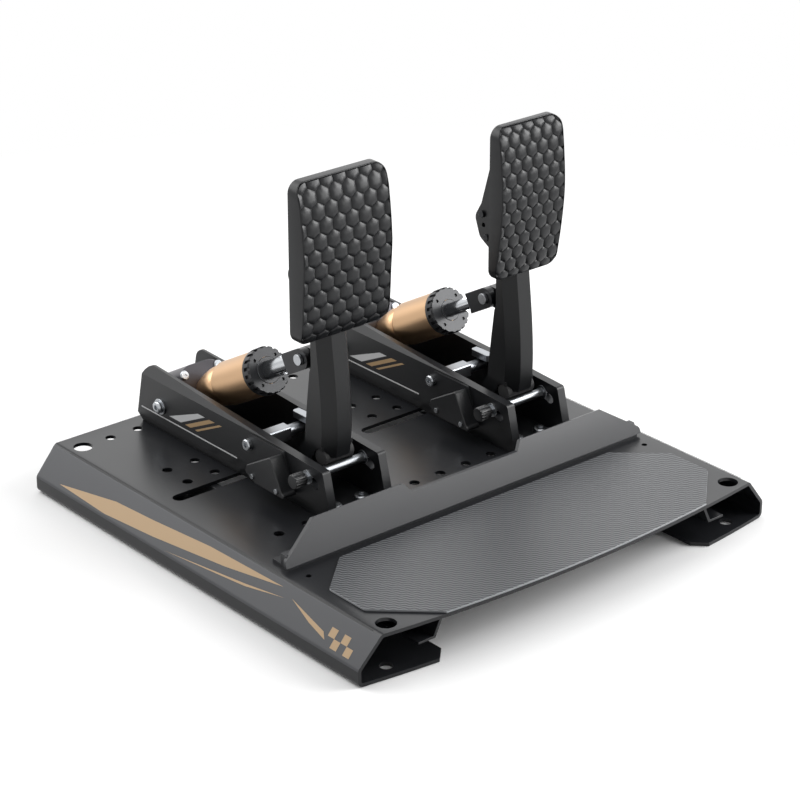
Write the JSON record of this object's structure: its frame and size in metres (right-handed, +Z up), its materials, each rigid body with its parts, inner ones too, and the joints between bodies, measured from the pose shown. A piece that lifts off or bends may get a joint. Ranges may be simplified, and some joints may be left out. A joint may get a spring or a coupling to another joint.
{
  "type": "sim_racing_pedal_set",
  "caption": "Sim racing pedal set: brake and throttle modules with gold cylinders on a folded steel plate with a heel stop and a ridged heel pad",
  "frame": {"origin": "middle of the set's outline on the floor", "axes": "X to the right as the driver sits, Y to the rear away from the driver, Z up"},
  "size_m": [0.4416, 0.4512, 0.3295],
  "materials": {
    "plate_steel": "satin dark grey powder coat",
    "module_wall": "satin black powder coat",
    "pad_rubber_sheet": "dark grip sheet with fine ridges",
    "stop_steel": "satin black powder coat",
    "black_screw": "black oxide",
    "zinc_fastener": "bright zinc",
    "bush_bronze": "plain bearing bronze",
    "tie_steel": "turned steel",
    "block_aluminium": "machined",
    "cover_plastic": "moulded black plastic",
    "board_green": "circuit board",
    "arm_metal": "satin black anodised",
    "axle_steel": "ground steel",
    "magnet_nickel": "nickel plate",
    "bumper_rubber": "black rubber",
    "pad_metal": "satin black with scooped grip",
    "cylinder_gold": "bronze gold anodised",
    "collar_black": "black anodised",
    "guide_ring": "light bearing plastic",
    "elastomer": "red brown elastomer",
    "spring_steel": "spring wire",
    "rod_steel": "polished steel rod",
    "clevis_black": "black anodised"
  },
  "bodies": {
    "frame": {"base_plate": "plate_steel", "stiffener_rails": "plate_steel", "heel_pad": "pad_rubber_sheet", "heel_stop": "stop_steel", "heel_stop_foot": "stop_steel", "heel_stop_screws": "black_screw", "floor_screws": "zinc_fastener", "floor_nuts": "zinc_fastener", "pivot_bushes": "bush_bronze", "cross_ties": "tie_steel", "tie_bolts": "black_screw", "stop_bolts": "zinc_fastener", "stop_sleeves": "tie_steel", "bump_blocks": "block_aluminium", "sensor_plates": "block_aluminium", "sensor_boards": "board_green", "sensor_screws": "zinc_fastener", "trunnion_bolts": "black_screw", "trunnion_washers": "zinc_fastener", "brake_left_wall": "module_wall", "brake_right_wall": "module_wall", "brake_floor_plate": "module_wall", "brake_sensor_cover": "cover_plastic", "throttle_left_wall": "module_wall", "throttle_right_wall": "module_wall", "throttle_floor_plate": "module_wall", "throttle_sensor_cover": "cover_plastic"},
    "brake_pedal": {"brake_arm": "arm_metal", "brake_pivot_axle": "axle_steel", "brake_magnet": "magnet_nickel", "brake_bumper": "bumper_rubber", "brake_pad": "pad_metal", "brake_pad_bracket": "arm_metal", "brake_pad_bolts": "black_screw", "brake_clevis_pin": "black_screw"},
    "brake_cylinder": {"brake_trunnion_block": "module_wall", "brake_block_screws": "black_screw", "brake_cylinder_body": "cylinder_gold", "brake_guide_bush": "guide_ring", "brake_load_cell": "tie_steel", "brake_elastomer_stack": "elastomer"},
    "brake_collar": {"brake_preload_collar": "collar_black"},
    "brake_link": {"brake_rod": "rod_steel", "brake_clevis": "clevis_black"},
    "throttle_pedal": {"throttle_arm": "arm_metal", "throttle_pivot_axle": "axle_steel", "throttle_magnet": "magnet_nickel", "throttle_bumper": "bumper_rubber", "throttle_pad": "pad_metal", "throttle_pad_bracket": "arm_metal", "throttle_pad_bolts": "black_screw", "throttle_clevis_pin": "black_screw"},
    "throttle_cylinder": {"throttle_trunnion_block": "module_wall", "throttle_block_screws": "black_screw", "throttle_cylinder_body": "cylinder_gold", "throttle_guide_bush": "guide_ring", "throttle_return_spring": "spring_steel"},
    "throttle_collar": {"throttle_preload_collar": "collar_black"},
    "throttle_link": {"throttle_rod": "rod_steel", "throttle_clevis": "clevis_black"}
  },
  "joints": [
    {"name": "brake_press", "type": "hinge", "parent": "frame", "child": "brake_pedal", "pos_m": [-0.0858, 0.01195, 0.064], "axis": [-1, 0, 0], "range_deg": [0, 9], "stiffness_Nm_per_rad": 60, "springref_deg": -5.73},
    {"name": "brake_cylinder_swing", "type": "hinge", "parent": "frame", "child": "brake_cylinder", "pos_m": [-0.0858, 0.18195, 0.066], "axis": [-1, 0, 0], "range_deg": [0, 2.27]},
    {"name": "brake_rod_slide", "type": "slide", "parent": "brake_cylinder", "child": "brake_link", "axis": [0, 0.8718, -0.4898], "range_m": [0, 0.01412], "deforming": ["brake_elastomer_stack"]},
    {"name": "brake_collar_turn", "type": "hinge", "parent": "brake_cylinder", "child": "brake_collar", "pos_m": [-0.0858, 0.0782, 0.12428], "axis": [0, -0.8718, 0.4898], "range_deg": [-180, 180]},
    {"name": "throttle_press", "type": "hinge", "parent": "frame", "child": "throttle_pedal", "pos_m": [0.1144, 0.01195, 0.064], "axis": [-1, 0, 0], "range_deg": [0, 16], "stiffness_Nm_per_rad": 20, "springref_deg": -5.73},
    {"name": "throttle_cylinder_swing", "type": "hinge", "parent": "frame", "child": "throttle_cylinder", "pos_m": [0.1144, 0.18195, 0.066], "axis": [-1, 0, 0], "range_deg": [0, 3.64]},
    {"name": "throttle_rod_slide", "type": "slide", "parent": "throttle_cylinder", "child": "throttle_link", "axis": [0, 0.8718, -0.4898], "range_m": [0, 0.02521], "deforming": ["throttle_return_spring"]},
    {"name": "throttle_collar_turn", "type": "hinge", "parent": "throttle_cylinder", "child": "throttle_collar", "pos_m": [0.1144, 0.0782, 0.12428], "axis": [0, -0.8718, 0.4898], "range_deg": [-180, 180]}
  ],
  "couplings": [
    {"joint": "brake_cylinder_swing", "follows": "brake_press", "ratio": 0.2297},
    {"joint": "brake_rod_slide", "follows": "brake_press", "m_per_rad": 0.087345},
    {"joint": "throttle_cylinder_swing", "follows": "throttle_press", "ratio": 0.2153},
    {"joint": "throttle_rod_slide", "follows": "throttle_press", "m_per_rad": 0.088831}
  ]
}
